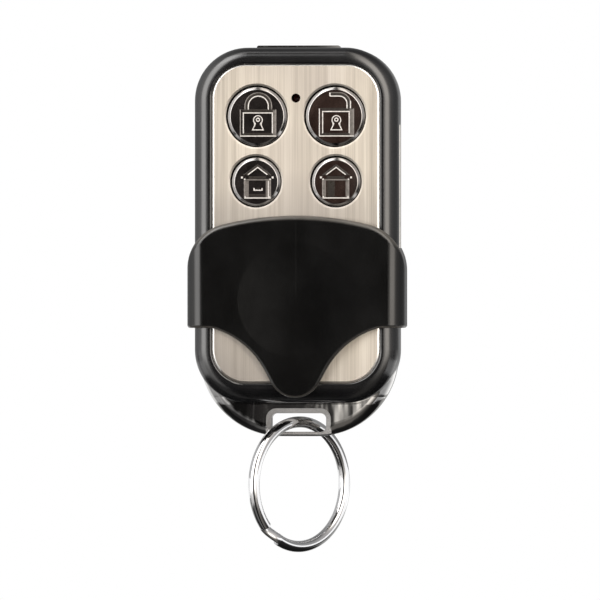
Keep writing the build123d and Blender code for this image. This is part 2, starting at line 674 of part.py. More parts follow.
# --------------------------------------------------------------------- screws
with BuildPart() as housing_screws:
    with BuildSketch(FRONT.offset(0.55)):
        with Locations(*SCREWS):
            Circle(SCREW_HEAD_R)
    extrude(amount=SCREW_SEAT_D - 0.55)
    fillet(housing_screws.edges().group_by(Axis.Y)[-1], 0.35)
    with BuildSketch(FRONT.offset(SCREW_SEAT_D)):
        with Locations(*SCREWS):
            Circle(SCREW_R)
    extrude(amount=SCREW_TIP_D - SCREW_SEAT_D)
    with BuildSketch(FRONT.offset(0.5)):
        with Locations(*SCREWS):
            Rectangle(1.7, 0.36)
            Rectangle(0.36, 1.7)
    extrude(amount=0.65, mode=Mode.SUBTRACT)
housing_screws.part.label = "housing_screws"
export_step(housing_screws.part, "parts/housing_screws.step")

# ------------------------------------------------------------------- key ring
yaw = math.radians(RING_YAW)
ring_centre = (0, -(TAIL_BACK_D + TAIL_FRONT_D) / 2, RING_Z)
ring_plane = Plane(
    origin=ring_centre,
    x_dir=(math.cos(yaw), math.sin(yaw), 0),
    z_dir=(math.sin(yaw), -math.cos(yaw), 0),
)
ring_mid_r = RING_OUT_R - RING_WIRE_R
level = (RING_WIRE_R + RING_GAP / 2) / 2      # middle of one turn


def ring_directions(degrees):
    """Unit vectors outwards and along the wire at an angle round the ring."""
    a = math.radians(degrees)
    out = ring_plane.x_dir * math.cos(a) + ring_plane.y_dir * math.sin(a)
    return out, out.cross(ring_plane.z_dir)


with BuildPart() as key_ring:
    out, along = ring_directions(RING_STEP_AT + RING_STEP_HALF)
    with BuildSketch(Plane(origin=ring_centre, x_dir=out, z_dir=along)):
        with Locations((ring_mid_r, 0)):
            Circle(RING_WIRE_R)
            Rectangle(3 * RING_WIRE_R, RING_GAP, mode=Mode.SUBTRACT)
    revolve(axis=Axis(ring_centre, ring_plane.z_dir), revolution_arc=360 - 2 * RING_STEP_HALF)
    # the step where the wire passes from one turn to the other
    for t in (0.0, 0.25, 0.5, 0.75, 1.0):
        ease = t * t * (3 - 2 * t)
        out, along = ring_directions(RING_STEP_AT - RING_STEP_HALF + 2 * RING_STEP_HALF * t)
        centre = Vector(ring_centre) + out * ring_mid_r + ring_plane.z_dir * level * (2 * ease - 1)
        with BuildSketch(Plane(origin=centre, x_dir=out, z_dir=along)):
            Ellipse(0.80, (RING_WIRE_R - RING_GAP / 2) / 2)
    loft()
key_ring.part.label = "key_ring"
export_step(key_ring.part, "parts/key_ring.step")
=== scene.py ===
import math

import bmesh
import bpy
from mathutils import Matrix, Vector


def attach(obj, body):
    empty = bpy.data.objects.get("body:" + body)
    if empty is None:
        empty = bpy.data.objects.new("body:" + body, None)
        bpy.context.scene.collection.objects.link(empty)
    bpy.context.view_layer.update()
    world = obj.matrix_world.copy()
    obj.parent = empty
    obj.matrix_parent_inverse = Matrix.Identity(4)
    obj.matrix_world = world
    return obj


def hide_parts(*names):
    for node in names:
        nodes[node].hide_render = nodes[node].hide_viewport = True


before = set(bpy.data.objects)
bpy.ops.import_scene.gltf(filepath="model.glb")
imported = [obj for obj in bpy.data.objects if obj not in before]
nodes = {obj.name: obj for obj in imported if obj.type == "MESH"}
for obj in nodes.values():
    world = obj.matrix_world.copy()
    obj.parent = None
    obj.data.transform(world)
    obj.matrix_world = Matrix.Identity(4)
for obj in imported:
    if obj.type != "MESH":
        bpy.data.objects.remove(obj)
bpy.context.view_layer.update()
scene = bpy.context.scene
MM = 0.001

# main sizes in millimetres, in the frame's axes; "d" is depth in front of the back face
BIG_X, BIG_Z, BIG_R = 6.25, 19.9, 4.66
SMALL_X, SMALL_Z, SMALL_R = 6.4, 9.46, 3.84
BUTTONS = {
    "lock": (-BIG_X, BIG_Z, BIG_R),
    "unlock": (BIG_X, BIG_Z, BIG_R),
    "arm_home": (-SMALL_X, SMALL_Z, SMALL_R),
    "aux_home": (SMALL_X, SMALL_Z, SMALL_R),
}
FACE_D, DOME, BEVEL_W, BEVEL_D = 11.94, 0.12, 0.42, 11.64


# ------------------------------------------------------------ material tools
class Surface:
    """A procedural material with a Principled shader and object coordinates in metres."""

    def __init__(self, name, **sockets):
        self.mat = bpy.data.materials.new(name)
        self.mat.use_nodes = True
        self.tree = self.mat.node_tree
        self.tree.nodes.clear()
        self.out = self.node("ShaderNodeOutputMaterial")
        self.bsdf = self.node("ShaderNodeBsdfPrincipled")
        self.link(self.bsdf.outputs[0], self.out.inputs["Surface"])
        self.coords = self.node("ShaderNodeTexCoord").outputs["Object"]
        for key, value in sockets.items():
            self.bsdf.inputs[key.replace("_", " ").title().replace("Ior", "IOR")].default_value = value

    def node(self, kind, **props):
        n = self.tree.nodes.new(kind)
        for key, value in props.items():
            setattr(n, key, value)
        return n

    def link(self, a, b):
        self.tree.links.new(a, b)

    def put(self, socket, value):
        if hasattr(value, "links"):
            self.link(value, socket)
        else:
            socket.default_value = value

    def scaled(self, x, y, z, offset=(0, 0, 0)):
        n = self.node("ShaderNodeMapping")
        n.inputs["Scale"].default_value = (x, y, z)
        n.inputs["Location"].default_value = offset
        self.link(self.coords, n.inputs["Vector"])
        return n.outputs["Vector"]

    def noise(self, vector, scale=1.0, detail=3.0, roughness=0.5, distortion=0.0):
        n = self.node("ShaderNodeTexNoise")
        self.link(vector, n.inputs["Vector"])
        n.inputs["Scale"].default_value = scale
        n.inputs["Detail"].default_value = detail
        n.inputs["Roughness"].default_value = roughness
        n.inputs["Distortion"].default_value = distortion
        return n.outputs["Fac"]

    def cells(self, vector, scale=1.0):
        n = self.node("ShaderNodeTexVoronoi")
        self.link(vector, n.inputs["Vector"])
        n.inputs["Scale"].default_value = scale
        return n.outputs["Distance"]

    def axis(self, name):
        n = self.node("ShaderNodeSeparateXYZ")
        self.link(self.coords, n.inputs[0])
        return n.outputs[name]

    def math(self, op, a, b=0.0, c=0.0, clamp=False):
        n = self.node("ShaderNodeMath", operation=op, use_clamp=clamp)
        for socket, value in zip(n.inputs, (a, b, c)):
            self.put(socket, value)
        return n.outputs[0]

    def remap(self, value, a, b, c, d, smooth=False):
        n = self.node("ShaderNodeMapRange")
        if smooth:
            n.interpolation_type = "SMOOTHSTEP"
        self.put(n.inputs["Value"], value)
        for key, number in zip(("From Min", "From Max", "To Min", "To Max"), (a, b, c, d)):
            n.inputs[key].default_value = number
        return n.outputs["Result"]

    def ramp(self, value, *stops):
        n = self.node("ShaderNodeValToRGB")
        self.link(value, n.inputs[0])
        e = n.color_ramp.elements
        while len(e) < len(stops):
            e.new(0.5)
        for slot, (pos, colour) in zip(e, stops):
            slot.position = pos
            slot.color = (*colour, 1.0)
        return n.outputs["Color"]

    def mix(self, fac, a, b, kind="MIX"):
        n = self.node("ShaderNodeMix", data_type="RGBA", blend_type=kind)
        self.put(n.inputs[0], fac)
        for socket, value in ((n.inputs[6], a), (n.inputs[7], b)):
            self.put(socket, value if hasattr(value, "links") else (*value, 1.0))
        return n.outputs[2]

    def bump(self, height, strength, distance, normal=None):
        n = self.node("ShaderNodeBump")
        self.link(height, n.inputs["Height"])
        n.inputs["Strength"].default_value = strength
        n.inputs["Distance"].default_value = distance
        if normal is not None:
            self.link(normal, n.inputs["Normal"])
        return n.outputs["Normal"]

    def edges(self, radius, low=0.02, high=0.35):
        """1 where the surface turns sharply within the radius, 0 on open areas."""
        round_n = self.node("ShaderNodeBevel", samples=6)
        round_n.inputs["Radius"].default_value = radius
        geo = self.node("ShaderNodeNewGeometry")
        dot = self.node("ShaderNodeVectorMath", operation="DOT_PRODUCT")
        self.link(round_n.outputs[0], dot.inputs[0])
        self.link(geo.outputs["Normal"], dot.inputs[1])
        return self.remap(self.math("SUBTRACT", 1.0, dot.outputs["Value"]), low, high, 0.0, 1.0)

    def colour(self, value):
        self.put(self.bsdf.inputs["Base Color"], value)

    def rough(self, value):
        self.put(self.bsdf.inputs["Roughness"], value)

    def normal(self, value):
        self.link(value, self.bsdf.inputs["Normal"])


def brushed_steel():
    s = Surface("brushed_steel", metallic=1.0, anisotropic=0.9)
    tangent = s.node("ShaderNodeTangent", direction_type="RADIAL", axis="Z")
    s.link(tangent.outputs[0], s.bsdf.inputs["Tangent"])
    fine = s.noise(s.scaled(7000, 7000, 45), 1.0, 4, 0.65)
    broad = s.noise(s.scaled(900, 900, 14, (3, 1, 0)), 1.0, 3, 0.6)
    cloud = s.noise(s.scaled(60, 60, 45, (0.7, 0, 2)), 1.0, 2, 0.5)
    tone = s.math("ADD", s.math("MULTIPLY", fine, 0.5), s.math("MULTIPLY", broad, 0.5))
    base = s.ramp(tone, (0.30, (0.60, 0.54, 0.455)), (0.5, (0.80, 0.73, 0.63)), (0.72, (0.97, 0.91, 0.81)))
    # the rolled edges are polished and also painted near-white as a painted highlight: their faces lean away from the
    # front
    lean = s.node("ShaderNodeSeparateXYZ")
    geo = s.node("ShaderNodeNewGeometry")
    s.link(geo.outputs["True Normal"], lean.inputs[0])
    polish_and_highlight = s.remap(s.math("ABSOLUTE", lean.outputs["Y"]), 0.995, 0.975, 0.0, 1.0)
    # the painted highlight is strongest along the outer border, less around the button holes
    out = s.math("MAXIMUM", s.math("SUBTRACT", s.math("ABSOLUTE", s.axis("X")), 0.0120),
                 s.math("SUBTRACT", s.axis("Z"), 0.0260))
    polish_and_highlight = s.math("MULTIPLY", polish_and_highlight, s.remap(out, -0.0002, 0.0002, 0.12, 1.0))
    base = s.mix(s.math("MULTIPLY", s.remap(cloud, 0.4, 0.65, 0.0, 1.0), 0.45), base, (0.56, 0.50, 0.46))
    # painted shade: the plate is painted darker towards the lower left
    painted_shade_lower_left = s.remap(s.math("SUBTRACT", s.math("MULTIPLY", s.axis("X"), -1.0), s.math("MULTIPLY", s.axis("Z"), 0.6)),
                   0.0, 0.024, 0.0, 0.82)
    base = s.mix(s.math("MULTIPLY", painted_shade_lower_left, s.remap(cloud, 0.3, 0.7, 0.75, 1.1)), base, (0.28, 0.255, 0.24))
    # painted shade: darker where the open cover ends, and down the left border
    painted_shade_by_cover_and_border = s.math("MULTIPLY", s.remap(s.axis("Z"), 0.0045, 0.0115, 0.42, 0.0), s.remap(s.axis("Z"), -0.002, 0.002, 0.0, 1.0))
    painted_shade_by_cover_and_border = s.math("MAXIMUM", painted_shade_by_cover_and_border, s.remap(s.axis("X"), -0.0125, -0.0100, 0.22, 0.0))
    base = s.mix(s.math("MULTIPLY", painted_shade_by_cover_and_border, s.remap(cloud, 0.3, 0.7, 0.8, 1.15)), base, (0.38, 0.35, 0.33))
    s.colour(s.mix(polish_and_highlight, base, (0.98, 0.97, 0.95)))
    s.rough(s.mix(polish_and_highlight, s.remap(tone, 0.3, 0.75, 0.58, 0.42), (0.20, 0.20, 0.20)))
    s.normal(s.bump(tone, 0.35, 0.00003))
    return s.mat


def satin_black(name, base, rough, grain, wear, speck=0.5, level=0.5, ior=1.5, crease=0.0, edge=0.006, turn=(0.03, 0.4), end_highlight=None):
    s = Surface(name, specular_ior_level=level, ior=ior)
    pores = s.noise(s.scaled(1, 1, 1), grain, 3, 0.6)
    smear = s.noise(s.scaled(130, 130, 90, (2, 5, 1)), 1.0, 4, 0.55)
    worn = s.math("MULTIPLY", s.edges(0.0004, *turn), s.remap(smear, 0.35, 0.7, 0.25, 1.0))
    tint = s.mix(s.remap(smear, 0.35, 0.7, 0.0, 1.0), base, tuple(c * 1.5 for c in base))
    tint = s.mix(s.math("MULTIPLY", worn, wear), tint, tuple(c * 3.0 + edge for c in base))
    if end_highlight:
        # painted highlight: the rounded ends are painted grey, most where they face up
        lean = s.node("ShaderNodeSeparateXYZ")
        s.link(s.node("ShaderNodeNewGeometry").outputs["Normal"], lean.inputs[0])
        ends = s.math("MAXIMUM", s.remap(lean.outputs["Z"], 0.10, 0.60, 0.0, 1.0),
                      s.remap(lean.outputs["Z"], -0.60, -0.10, 0.45, 0.0))
        tint = s.mix(s.math("MULTIPLY", ends, s.remap(smear, 0.3, 0.7, 0.6, 1.1)), tint, end_highlight)
    s.colour(tint)
    s.rough(s.math("ADD", s.remap(smear, 0.3, 0.7, rough - 0.03, rough + 0.03), s.remap(pores, 0.3, 0.7, -0.012, 0.018)))
    normal = s.bump(pores, speck, 0.00001)
    if crease:
        # a faint moulded line down the middle of the upper half
        ridge = s.math("MULTIPLY", s.remap(s.math("ABSOLUTE", s.axis("X")), 0.00006, 0.00022, 1.0, 0.0),
                       s.remap(s.axis("Z"), -0.0105, -0.0090, 0.0, 1.0))
        normal = s.bump(ridge, 1.0, crease, normal)
    s.normal(normal)
    return s


def mirror_chrome(name, base, rough, crown=None, ripple=0.15, wave=0.0, metallic=1.0, slot=False):
    s = Surface(name, metallic=metallic)
    smear = s.noise(s.scaled(160, 160, 110, (1, 4, 2)), 1.0, 4, 0.6)
    peel = s.noise(s.scaled(1, 1, 1), 420, 2, 0.5)
    scratch = s.noise(s.scaled(2600, 700, 180, (5, 2, 8)), 1.0, 2, 0.5)
    tint = s.mix(s.remap(smear, 0.35, 0.7, 0.0, 1.0), base, tuple(c * 0.9 for c in base))
    matt = s.math("ADD", s.remap(smear, 0.35, 0.72, rough, rough + 0.06), s.remap(scratch, 0.62, 0.75, 0.0, 0.08))
    if slot:
        # painted reflection: the countersunk edge of the key ring slot is painted light grey, matt and less metallic,
        # standing in for the white the chrome reflects
        lean = s.node("ShaderNodeSeparateXYZ")
        s.link(s.node("ShaderNodeNewGeometry").outputs["True Normal"], lean.inputs[0])
        painted_bevel_reflection = s.math("MULTIPLY", s.remap(s.math("ABSOLUTE", s.axis("X")), 0.0052, 0.0053, 1.0, 0.0),
                      s.remap(s.axis("Z"), -0.0266, -0.0263, 1.0, 0.0))
        painted_bevel_reflection = s.math("MULTIPLY", painted_bevel_reflection, s.remap(s.axis("Z"), -0.0311, -0.0309, 0.0, 1.0))
        painted_bevel_reflection = s.math("MULTIPLY", painted_bevel_reflection, s.remap(s.axis("Y"), -0.0045, -0.0044, 1.0, 0.0))
        painted_bevel_reflection = s.math("MULTIPLY", painted_bevel_reflection, s.remap(lean.outputs["Y"], -0.93, -0.88, 0.0, 1.0))
        grit = s.noise(s.scaled(1, 1, 1), 6500, 2, 0.6)
        tint = s.mix(painted_bevel_reflection, tint, s.mix(s.remap(grit, 0.35, 0.65, 0.0, 1.0), (0.42, 0.41, 0.405), (0.62, 0.61, 0.60)))
        matt = s.math("ADD", matt, s.math("MULTIPLY", painted_bevel_reflection, 0.35))
        # painted reflection: the front of the thin lower end is painted dark towards both ends, in place of the
        # chrome's reflections there
        sides = s.math("MAXIMUM", s.remap(s.axis("X"), -0.0085, -0.0055, 1.0, 0.0), s.remap(s.axis("X"), 0.0088, 0.0110, 0.0, 0.8))
        painted_dark_reflection = s.math("MULTIPLY", sides, s.remap(s.axis("Z"), -0.0225, -0.0205, 1.0, 0.0))
        painted_dark_reflection = s.math("MULTIPLY", painted_dark_reflection, s.remap(s.axis("Y"), -0.0030, -0.0015, 1.0, 0.0))
        facing = s.node("ShaderNodeSeparateXYZ")
        s.link(s.node("ShaderNodeNewGeometry").outputs["Normal"], facing.inputs[0])
        painted_dark_reflection = s.math("MULTIPLY", painted_dark_reflection, s.remap(facing.outputs["Y"], -0.80, -0.40, 1.0, 0.0))
        tint = s.mix(s.math("MULTIPLY", painted_dark_reflection, s.remap(smear, 0.3, 0.7, 0.70, 0.95)), tint, (0.11, 0.11, 0.11))
        s.put(s.bsdf.inputs["Metallic"], s.math("SUBTRACT", metallic, s.math("MULTIPLY", painted_bevel_reflection, 0.8)))
    s.colour(tint)
    s.rough(matt)
    normal = s.bump(peel, ripple, 0.00002)
    if wave:
        swell = s.noise(s.scaled(330, 30, 70, (3, 1, 5)), 1.0, 2, 0.5)
        # the thin lower end is the least flat
        swell = s.math("MULTIPLY", swell, s.remap(s.axis("Z"), -0.0262, -0.0250, 1.0, 0.0))
        normal = s.bump(swell, 1.0, wave, normal)
    if crown:
        x = s.math("ADD", s.axis("X"), 0.0028)
        bow = s.math("MULTIPLY", s.math("MULTIPLY", x, x), -crown)
        normal = s.bump(bow, 1.0, 1.0, normal)
    s.normal(normal)
    return s.mat


# ------------------------------------------------------------- all materials
M = {}
M["steel"] = brushed_steel()
M["frame"] = satin_black("frame_black", (0.005, 0.005, 0.0055), 0.17, 5200, 0.5, 0.35, level=0.7, ior=1.8).mat
# the grey given to the cover's rounded ends is a painted highlight
M["cover"] = satin_black("cover_black", (0.0010, 0.0010, 0.0010), 0.185, 4200, 1.0, 0.06, level=0.65, ior=1.6, crease=0.000006, edge=0.05, turn=(0.004, 0.05), end_highlight=(0.135, 0.125, 0.112)).mat
M["chrome"] = mirror_chrome("mirror_plating", (0.80, 0.79, 0.78), 0.07, crown=3.6, ripple=0.15, wave=0.00018, slot=True)
M["ring"] = mirror_chrome("ring_plating", (0.95, 0.95, 0.96), 0.03, ripple=0.1)


def smoked_face(name, a, b):
    s = Surface(name, coat_weight=1.0, coat_roughness=0.06, coat_ior=1.5, specular_ior_level=0.3)
    smear = s.noise(s.scaled(420, 420, 300, (1, 2, 3)), 1.0, 4, 0.6)
    fine = s.noise(s.scaled(1, 1, 1), 2600, 2, 0.5)
    s.colour(s.mix(s.remap(smear, 0.35, 0.7, 0.0, 1.0), a, b))
    s.rough(s.remap(smear, 0.3, 0.7, 0.16, 0.30))
    s.normal(s.bump(fine, 0.15, 0.00001))
    return s.mat


def cap_rim():
    s = Surface("cap_rim", metallic=1.0)
    smear = s.noise(s.scaled(700, 700, 700, (4, 0, 1)), 1.0, 3, 0.5)
    s.colour(s.mix(s.remap(smear, 0.35, 0.7, 0.0, 1.0), (0.70, 0.68, 0.67), (0.56, 0.53, 0.51)))
    s.rough(s.remap(smear, 0.3, 0.7, 0.10, 0.22))
    s.normal(s.bump(smear, 0.1, 0.00001))
    return s.mat


# painted highlight: near-white ribs that stand for the glints on the icon's raised edges
def icon_painted_glint():
    s = Surface("icon_painted_glint", metallic=0.0, specular_ior_level=0.6)
    smear = s.noise(s.scaled(1, 1, 1), 3500, 3, 0.6)
    s.colour(s.mix(s.remap(smear, 0.35, 0.65, 0.0, 1.0), (0.95, 0.91, 0.87), (0.66, 0.62, 0.58)))
    s.rough(s.remap(smear, 0.3, 0.7, 0.25, 0.45))
    s.normal(s.bump(smear, 0.2, 0.00001))
    return s.mat


# painted light: lighter smoked bands that stand for the half-lit and faintly lit parts of the icon relief
def icon_painted_sheen(name, a, b):
    s = Surface(name, coat_weight=0.6, coat_roughness=0.1, metallic=0.3)
    smear = s.noise(s.scaled(1, 1, 1), 1500, 3, 0.6)
    s.colour(s.mix(s.remap(smear, 0.35, 0.65, 0.0, 1.0), a, b))
    s.rough(s.remap(smear, 0.3, 0.7, 0.22, 0.4))
    s.normal(s.bump(smear, 0.2, 0.00001))
    return s.mat


M["face"] = smoked_face("smoked_face", (0.007, 0.0055, 0.005), (0.018, 0.014, 0.013))
# painted reflection: a browner copy of the smoked face for the right-hand caps, standing for the brown they reflect
M["face_brown"] = smoked_face("smoked_face_brown", (0.017, 0.009, 0.007), (0.036, 0.020, 0.015))
# the icon materials are painted light: near-white glints, a half-lit grey and a faint sheen
M["rim"], M["line"] = cap_rim(), icon_painted_glint()
M["grey"] = icon_painted_sheen("icon_half_lit", (0.30, 0.27, 0.25), (0.16, 0.145, 0.13))
M["band"] = icon_painted_sheen("icon_painted_sheen", (0.060, 0.052, 0.044), (0.030, 0.024, 0.020))


def plain_metal(name, a, b, rough, grain=1800, stretch=(1, 1, 1)):
    s = Surface(name, metallic=1.0)
    n = s.noise(s.scaled(*stretch), grain, 3, 0.6)
    s.colour(s.mix(s.remap(n, 0.35, 0.65, 0.0, 1.0), a, b))
    s.rough(s.remap(n, 0.3, 0.7, rough, rough + 0.14))
    s.normal(s.bump(n, 0.25, 0.00001))
    return s.mat


def plain_plastic(name, a, b, rough, grain=2200, **sockets):
    s = Surface(name, **sockets)
    n = s.noise(s.scaled(1, 1, 1), grain, 3, 0.6)
    worn = s.math("MULTIPLY", s.edges(0.00015, 0.05, 0.5), 0.4)
    s.colour(s.mix(worn, s.mix(s.remap(n, 0.35, 0.65, 0.0, 1.0), a, b), tuple(min(1, c * 1.6 + 0.02) for c in b)))
    s.rough(s.remap(n, 0.3, 0.7, rough, rough + 0.15))
    s.normal(s.bump(n, 0.3, 0.00001))
    return s.mat


M["film"] = plain_plastic("adhesive_film", (0.74, 0.71, 0.62), (0.82, 0.80, 0.72), 0.35)
M["switch_black"] = plain_plastic("switch_body", (0.012, 0.012, 0.012), (0.02, 0.02, 0.02), 0.35)
M["tin"] = plain_metal("tinned_steel", (0.62, 0.62, 0.61), (0.74, 0.74, 0.73), 0.22)
M["nickel"] = plain_metal("nickel_strip", (0.66, 0.63, 0.58), (0.78, 0.76, 0.70), 0.18)
M["screw"] = plain_metal("zinc_screw", (0.42, 0.42, 0.44), (0.60, 0.60, 0.62), 0.28)
M["copper"] = plain_metal("antenna_copper", (0.70, 0.36, 0.20), (0.84, 0.50, 0.30), 0.25)
M["can"] = plain_metal("drawn_can", (0.66, 0.65, 0.61), (0.78, 0.77, 0.73), 0.24)
M["led"] = plain_plastic("led_lens", (0.05, 0.004, 0.003), (0.08, 0.007, 0.005), 0.08, coat_weight=0.5)
M["chip"] = plain_plastic("moulded_epoxy", (0.012, 0.012, 0.013), (0.025, 0.025, 0.026), 0.5)
M["blue"] = plain_plastic("glazed_ceramic", (0.03, 0.07, 0.22), (0.05, 0.11, 0.30), 0.2, coat_weight=0.5)
M["tan"] = plain_plastic("fired_ceramic", (0.40, 0.27, 0.14), (0.50, 0.36, 0.20), 0.4)
M["sleeve"] = plain_plastic("shrink_sleeve", (0.020, 0.020, 0.022), (0.035, 0.035, 0.038), 0.22, coat_weight=0.4)


def solder_mask():
    s = Surface("solder_mask", coat_weight=0.5, coat_roughness=0.15)
    weave = s.math("MULTIPLY", s.math("SINE", s.math("MULTIPLY", s.axis("X"), 9000.0)),
                   s.math("SINE", s.math("MULTIPLY", s.axis("Z"), 9000.0)))
    n = s.noise(s.scaled(1, 1, 1), 400, 4, 0.6)
    s.colour(s.mix(s.remap(n, 0.35, 0.65, 0.0, 1.0), (0.010, 0.085, 0.030), (0.016, 0.13, 0.045)))
    s.rough(s.remap(n, 0.3, 0.7, 0.25, 0.4))
    s.normal(s.bump(weave, 0.2, 0.00001))
    return s.mat


M["board"] = solder_mask()

FINISH = {
    "rear_shell": "chrome", "front_frame": "frame", "face_plate": "steel", "plate_adhesive_film": "film",
    "slide_cover": "cover", "switch_terminals": "tin", "circuit_board": "board", "loop_antenna": "copper",
    "indicator_led": "led", "encoder_chip": "chip", "encoder_pins": "tin", "saw_resonator": "can",
    "rf_transistor": "chip", "trimmer_capacitor": "blue", "chip_resistors": "chip", "chip_capacitors": "tan",
    "battery": "sleeve", "positive_contact": "nickel", "negative_contact": "nickel",
    "battery_contact_spring": "nickel", "housing_screws": "screw", "key_ring": "ring",
}
for name in BUTTONS:
    FINISH[f"{name}_button"] = "face"
    FINISH[f"{name}_switch"] = "tin"
    FINISH[f"{name}_switch_plunger"] = "switch_black"


def finish_node(obj, mat):
    if obj.material_slots:
        for s in obj.material_slots:
            s.material = mat
    else:
        obj.data.materials.append(mat)


for name, obj in nodes.items():
    finish_node(obj, M[FINISH[name]])


# ------------------------------------------------------------- mesh builders
def new_object(name, bm, mats, body, stands_for=(), smooth_deg=None):
    me = bpy.data.meshes.new(name)
    bmesh.ops.recalc_face_normals(bm, faces=bm.faces)
    bm.to_mesh(me)
    bm.free()
    for m in mats:
        me.materials.append(m)
    obj = bpy.data.objects.new(name, me)
    scene.collection.objects.link(obj)
    if smooth_deg is not None:
        me.shade_smooth()
        me.set_sharp_from_angle(angle=math.radians(smooth_deg))
    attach(obj, body)
    if stands_for:
        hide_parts(*stands_for)
    return obj


def arc_profile(p0, p1, p2, steps):
    """Round corner at p1 between p0 and p2, as a quadratic curve."""
    return [
        tuple((1 - t) ** 2 * a + 2 * t * (1 - t) * b + t * t * c for a, b, c in zip(p0, p1, p2))
        for t in (i / steps for i in range(steps + 1))
    ]


def dome_depth(r, radius):
    """Depth of the domed cap face at a distance r from its axis."""
    flat_r = radius - BEVEL_W
    big = (flat_r**2 + DOME**2) / (2 * DOME)
    return FACE_D + DOME - (big - math.sqrt(big * big - r * r))


def make_cap(name, bx, bz, br):
    """A lathe-turned button cap: domed face, polished bevel, wall, flange and hollow underside."""
    face_r = br - BEVEL_W
    profile, kinds = [(0.0, dome_depth(0, br))], []
    rings = 22
    for i in range(1, rings + 1):
        r = (face_r - 0.05) * i / rings
        profile.append((r, dome_depth(r, br)))
        kinds.append(0)
    step = (BEVEL_D - FACE_D) / BEVEL_W
    soft = arc_profile((face_r - 0.05, dome_depth(face_r - 0.05, br)), (face_r, FACE_D),
                       (face_r + 0.05, FACE_D + 0.05 * step), 4)
    for p in soft[1:]:
        profile.append(p)
        kinds.append(1)
    profile.append((face_r + BEVEL_W / 2, FACE_D + BEVEL_W / 2 * step))
    kinds.append(1)
    soft = arc_profile((br - 0.07, BEVEL_D - 0.07 * step), (br, BEVEL_D), (br, BEVEL_D - 0.08), 5)
    for p in soft:
        profile.append(p)
        kinds.append(1)
    for p in ((br, 9.45), (br + 0.35, 9.45), (br + 0.35, 8.80), (br - 0.85, 8.80), (br - 0.85, 10.90),
              (1.3, 10.90), (1.3, 9.2), (0.0, 9.2)):
        profile.append(p)
        kinds.append(0)
    bm = bmesh.new()
    seg = 128
    loops = []
    for r, d in profile:
        if r == 0.0:
            loops.append([bm.verts.new((bx * MM, -d * MM, bz * MM))])
        else:
            loops.append([
                bm.verts.new(((bx + r * math.cos(a)) * MM, -d * MM, (bz + r * math.sin(a)) * MM))
                for a in (2 * math.pi * k / seg for k in range(seg))
            ])
    for i, kind in enumerate(kinds):
        a, b = loops[i], loops[i + 1]
        for k in range(seg):
            k2 = (k + 1) % seg
            if len(a) == 1:
                f = bm.faces.new((a[0], b[k], b[k2]))
            elif len(b) == 1:
                f = bm.faces.new((a[k], b[0], a[k2]))
            else:
                f = bm.faces.new((a[k], b[k], b[k2], a[k2]))
            f.material_index = kind
    # the right-hand caps take the browner copy, a painted reflection
    face = M["face_brown" if name in ("unlock", "aux_home") else "face"]
    return new_object(f"{name}_cap", bm, [face, M["rim"]], name, [f"{name}_button"], 24)


class Relief:
    """Thin raised figures that follow the domed face of one cap."""

    def __init__(self, bx, bz, br):
        self.bm, self.bx, self.bz, self.br = bmesh.new(), bx, bz, br

    def point(self, x, z, h):
        return self.bm.verts.new(
            ((self.bx + x) * MM, -(dome_depth(math.hypot(x, z), self.br) + h) * MM, (self.bz + z) * MM)
        )

    def line(self, pts, width, height, closed=False, step=0.3, sink=0.03, mat=0):
        """A rib of the given width along a path, with mitred corners."""
        pts = [Vector(p) for p in pts]
        n = len(pts)
        dense, count = [], n if closed else n - 1
        for i in range(count):
            a, b = pts[i], pts[(i + 1) % n]
            cuts = max(1, math.ceil((b - a).length / step))
            dense += [a.lerp(b, j / cuts) for j in range(cuts)]
        if not closed:
            dense.append(pts[-1])
        m = len(dense)
        rows = []
        for i, p in enumerate(dense):
            before = (p - dense[i - 1]).normalized() if (closed or i) else None
            after = (dense[(i + 1) % m] - p).normalized() if (closed or i < m - 1) else None
            before, after = before or after, after or before
            n1, n2 = Vector((-before.y, before.x)), Vector((-after.y, after.x))
            mid = (n1 + n2).normalized()
            off = mid * (width / 2 / max(0.35, mid.dot(n1)))
            crown = width * 0.28
            quad = []
            for side, h in ((1.0, -sink), (1.0, height * 0.55), (1 - crown / width * 2, height),
                            (crown / width * 2 - 1, height), (-1.0, height * 0.55), (-1.0, -sink)):
                q = p + off * side
                quad.append(self.point(q.x, q.y, h))
            rows.append(quad)
        for i in range(m if closed else m - 1):
            a, b = rows[i], rows[(i + 1) % m]
            for k in range(6):
                k2 = (k + 1) % 6
                self.bm.faces.new((a[k], a[k2], b[k2], b[k])).material_index = mat
        if not closed:
            for end in (rows[0], rows[-1]):
                self.bm.faces.new(end).material_index = mat


def rect(x0, z0, x1, z1):
    return [(x0, z0), (x1, z0), (x1, z1), (x0, z1)]


def arc(cx, cz, r, a0, a1, steps=20):
    return [
        (cx + r * math.cos(math.radians(a0 + (a1 - a0) * i / steps)),
         cz + r * math.sin(math.radians(a0 + (a1 - a0) * i / steps)))
        for i in range(steps + 1)
    ]


LINE_W, LINE_H, BAND_H = 0.145, 0.04, 0.022
# painted light levels for the icon strokes: a painted glint, a half-lit grey and a faint painted sheen
LIT_GLINT, HALF_LIT, FAINT_LIT = 0, 1, 2


def keyhole(r, cx):
    body = [(cx + x, z) for x, z in arc(0.0, -0.62, 0.70, 236, -56, 22) + [(0.88, -2.20), (-0.88, -2.20)]]
    r.line(body, LINE_W, LINE_H, closed=True, step=0.15)
    for side in (-1, 1):
        r.line([(cx + side * 0.52, -0.95), (cx + side * 0.52, -1.45)], 0.20, LINE_H, step=0.15)
    r.line([(cx - 0.86, -2.18), (cx + 0.86, -2.18)], 0.15, LINE_H + 0.01)
    r.line([(cx + x, z) for x, z in arc(0.0, -0.56, 0.26, 0, 336, 14)], 0.17, BAND_H, closed=True, step=0.12)


